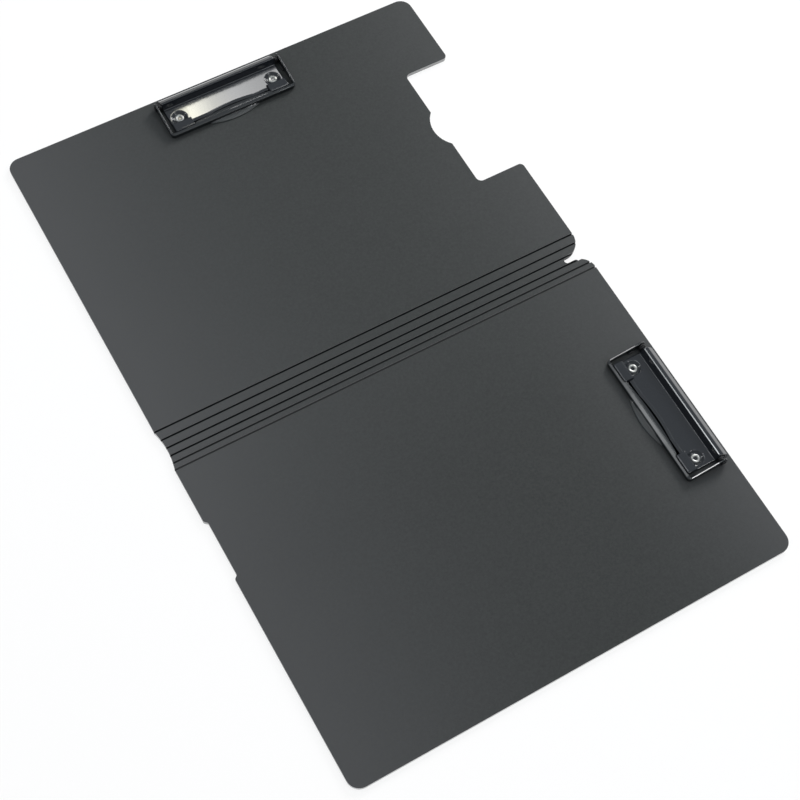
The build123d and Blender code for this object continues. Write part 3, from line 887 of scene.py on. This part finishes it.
# Window panes and long lamps that the clips' flat faces mirror: each is placed where the
# camera sees it in a facet at a spot (in millimetres), and its panes run along the clip.
# "covers" is the length of facet that shows it, and its colour goes from the first to the
# last within "fade" steps of its radiance
topAlong = (1.0, 0.0, 0.0)
sideAlong = (0.0, -1.0, 0.0)
barFacet = (-jawValues["frontDrop"] - jawValues["crestLift"], 0.0, jawValues["crest"])
ridgeSlope = np.subtract(plateValues["ridgeRear"], plateValues["ridgeFront"])
ridgeFacet = (-ridgeSlope[1], 0.0, ridgeSlope[0])
armFacet = (-0.113, 0.0, 0.99)
mirroredLamps = {
    "topWindow": {
        "spot": (4.0, 202.0, 5.0), "facet": (0.0, 0.0, 1.0), "along": topAlong,
        "covers": 88.0, "depth": 0.12, "distance": 1.9, "panes": 32,
        "radiance": (11.0, 21.0, 16.5, 11.8, 10.2, 9.1, 8.1, 7.3, 6.8, 7.2, 20.0),
        "firstColour": (1.0, 0.975, 0.80), "lastColour": (1.0, 1.0, 1.0), "fade": 5,
    },
    "sideBarLamp": {
        "spot": (124.0, -128.5, 6.9), "facet": barFacet, "along": sideAlong,
        "covers": 98.0, "depth": 0.32, "distance": 2.0,
        "radiance": (1.2, 1.7, 2.3, 3.2, 4.0, 4.1, 3.7, 3.0, 2.6, 2.2),
        "firstColour": (0.97, 1.0, 1.01), "lastColour": (0.97, 1.0, 1.01),
    },
    "sideRidgeLamp": {
        "spot": (148.7, -128.5, 10.0), "facet": ridgeFacet, "along": sideAlong,
        "covers": 92.0, "depth": 0.06, "distance": 0.8,
        "radiance": (7.2, 7.8, 8.0, 8.8, 9.5, 10.8, 11.8, 12.8, 14.2, 16.0),
        "firstColour": (0.96, 1.0, 1.02), "lastColour": (0.96, 1.0, 1.02),
    },
    "sideRearLamp": {
        "spot": (126.5, -128.5, 7.4), "facet": (0.2, 0.0, 0.98), "along": sideAlong,
        "covers": 98.0, "depth": 0.25, "distance": 2.0, "radiance": (1.3, 1.6, 1.5),
        "firstColour": (0.97, 1.0, 1.02), "lastColour": (0.97, 1.0, 1.02),
    },
    "upperArmLamp": {
        "spot": (133.0, -80.7, 8.3), "facet": armFacet, "along": topAlong,
        "covers": 24.0, "depth": 0.016, "distance": 2.0, "radiance": (9.0, 10.0),
    },
    "lowerArmLamp": {
        "spot": (133.0, -176.3, 8.3), "facet": armFacet, "along": topAlong,
        "covers": 26.0, "depth": 0.016, "distance": 2.0, "radiance": (22.0, 20.0),
    },
    "topFrontLamp": {
        "spot": (0.0, 209.5, 6.5), "facet": (0.0, -0.47, 0.88), "along": topAlong,
        "covers": 96.0, "depth": 0.3, "distance": 2.0, "radiance": (3.6, 4.6),
    },
}


def makeLamp(name, centre, sideways, outward, size, radiance, colour):
    lamp = bpy.data.lights.new(name, "AREA")
    lamp.shape = "RECTANGLE"
    lamp.size, lamp.size_y = size
    lamp.energy = radiance * math.pi * size[0] * size[1]
    lamp.color = colour
    holder = bpy.data.objects.new(name, lamp)
    bpy.context.scene.collection.objects.link(holder)
    sideways = (sideways - outward * sideways.dot(outward)).normalized()
    axes = Matrix([sideways, outward.cross(sideways), outward]).transposed()
    holder.matrix_world = Matrix.Translation(centre) @ axes.to_4x4()


def makeOpenLamp(name, values):
    outward = Vector(values["direction"]).normalized()
    centre = outward * values["distance"]
    size = (values["size"], values["size"])
    makeLamp(name, centre, Vector((1, 0, 0)), outward, size, values["radiance"], values["colour"])


def makeMirroredLamp(name, values):
    # a plane facet mirrors the sight line to its spot; a stretch of the facet shows
    # a lamp that is longer by the lamp's and the camera's distance over the camera's
    spot = Vector(values["spot"]) * mm
    toSpot = spot - Vector(cameraPlace["place"]) * mm
    facet = Vector(values["facet"]).normalized()
    sight = toSpot.normalized()
    outward = sight - facet * (2 * sight.dot(facet))
    along = Vector(values["along"])
    flat = along - outward * along.dot(outward)
    width = values["covers"] * mm * flat.length * (1 + values["distance"] / toSpot.length)
    firstColour = Vector(values.get("firstColour", (1.0, 1.0, 1.0)))
    lastColour = Vector(values.get("lastColour", (1.0, 1.0, 1.0)))
    steps = len(values["radiance"]) - 1
    count = values.get("panes", steps + 1)
    for number in range(count):
        step = number * steps / (count - 1)
        radiance = float(np.interp(step, range(steps + 1), values["radiance"]))
        offset = ((number + 0.5) / count - 0.5) * width
        centre = spot + outward * values["distance"] + flat.normalized() * offset
        colour = firstColour.lerp(lastColour, min(1, step / values.get("fade", 1)))
        size = (width / count, values["depth"])
        makeLamp(f"{name}{number}", centre, along, outward, size, radiance, colour)


makeFloor()
makeWorld()
for name, values in openLamps.items():
    makeOpenLamp(name, values)
for name, values in mirroredLamps.items():
    makeMirroredLamp(name, values)
makeCamera()
bpy.context.scene.view_settings.view_transform = "Standard"
print("stage made")
